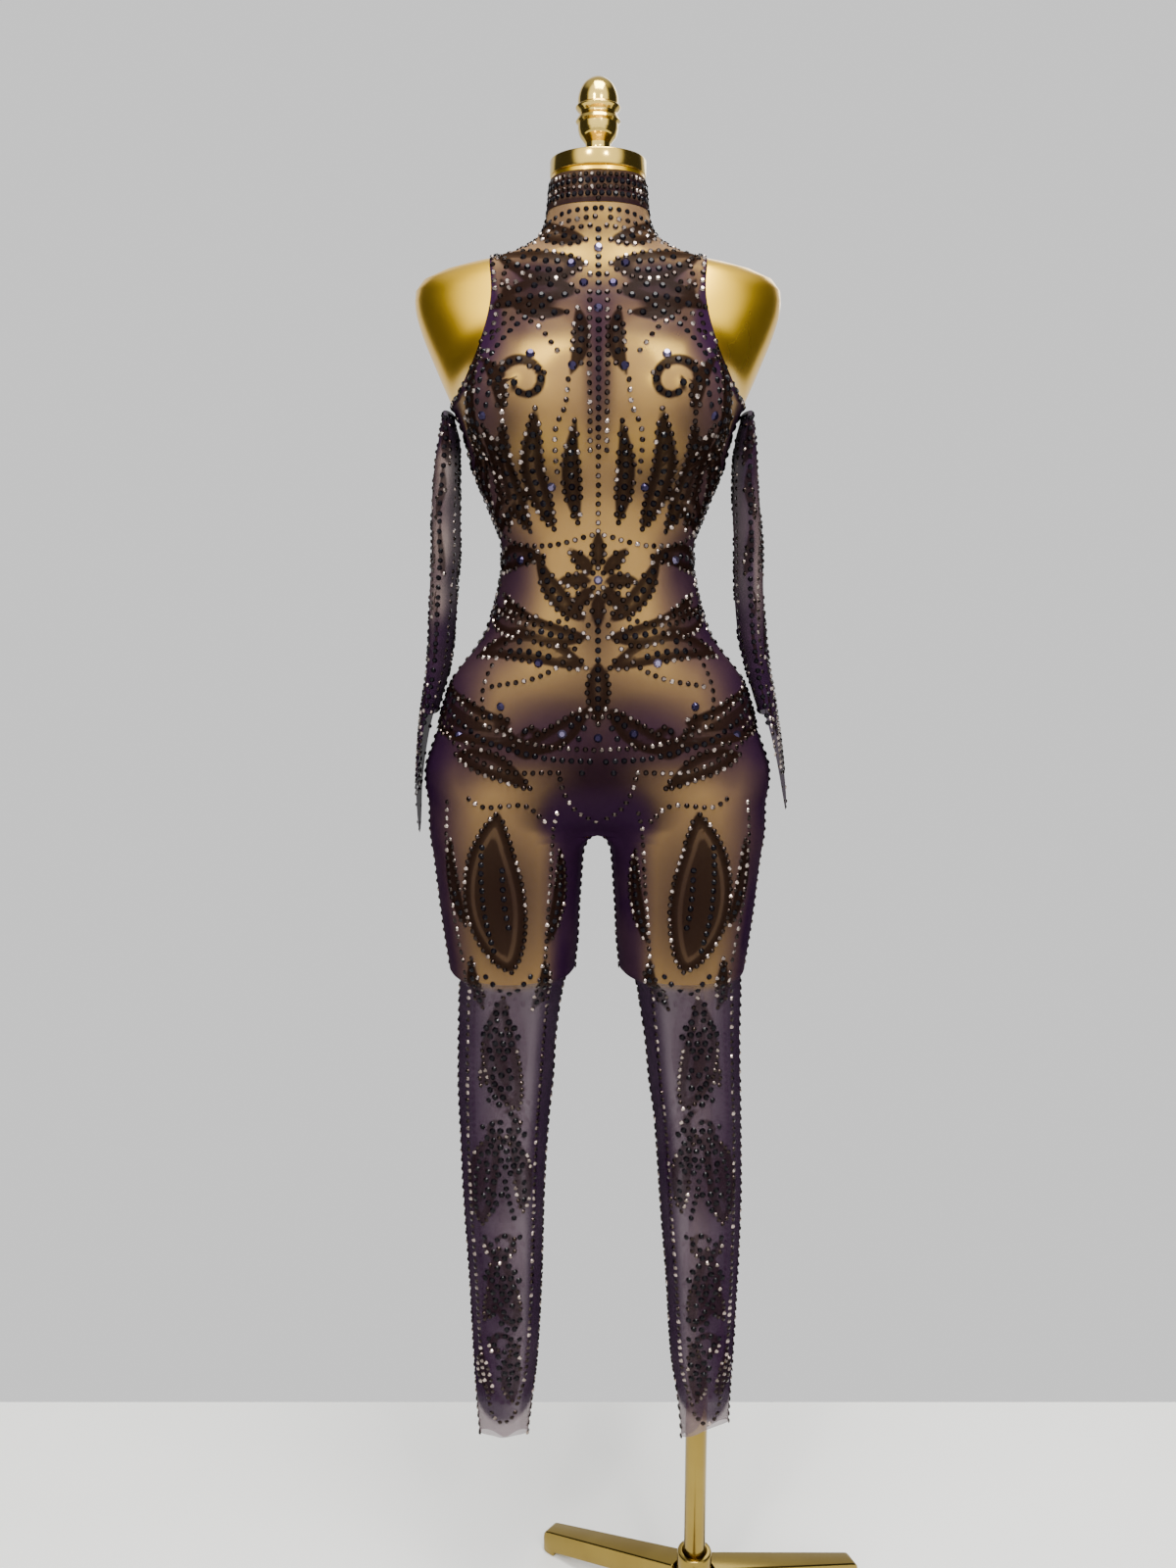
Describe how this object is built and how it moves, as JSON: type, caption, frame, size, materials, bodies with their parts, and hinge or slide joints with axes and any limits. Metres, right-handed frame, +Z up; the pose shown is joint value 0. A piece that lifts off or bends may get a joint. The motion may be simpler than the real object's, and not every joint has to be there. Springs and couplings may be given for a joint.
{
  "type": "stage jumpsuit on a limbless dress form with a stand",
  "caption": "Sheer stretch-mesh stage jumpsuit with long pointed sleeves and tapering legs, on a limbless dress form with a pole and a three-legged base.",
  "frame": {"origin": "on the floor, at the middle of the bounding box's underside", "axes": "+Z up, the suit's front faces -Y, and the wearer's left is +X"},
  "size_m": [0.524, 0.3748, 1.7462],
  "materials": {
    "mesh_cloth": "satin",
    "zip_tape": "matte",
    "zip_metal": "satin",
    "form_skin": "satin",
    "polished_gold": "polished"
  },
  "bodies": {
    "suit_on_stand": {"front": "mesh_cloth", "back_left": "mesh_cloth", "back_right": "mesh_cloth", "collar": "mesh_cloth", "sleeve_left": "mesh_cloth", "sleeve_right": "mesh_cloth", "zip_strip": "zip_tape", "zip_slider": "zip_metal", "form": "form_skin", "neck_cap": "polished_gold", "finial": "polished_gold", "pole": "polished_gold", "pole_socket": "polished_gold", "base_hub": "polished_gold", "base_leg_left": "polished_gold", "base_leg_right": "polished_gold", "base_leg_front": "polished_gold"},
    "pull": {"zip_pull": "zip_metal"}
  },
  "joints": [
    {"name": "zip_pull_swing", "type": "hinge", "parent": "suit_on_stand", "child": "pull", "pos_m": [-0.06956, 0.09857, 1.63877], "axis": [1, 0, 0], "range_deg": [0, 160]}
  ]
}
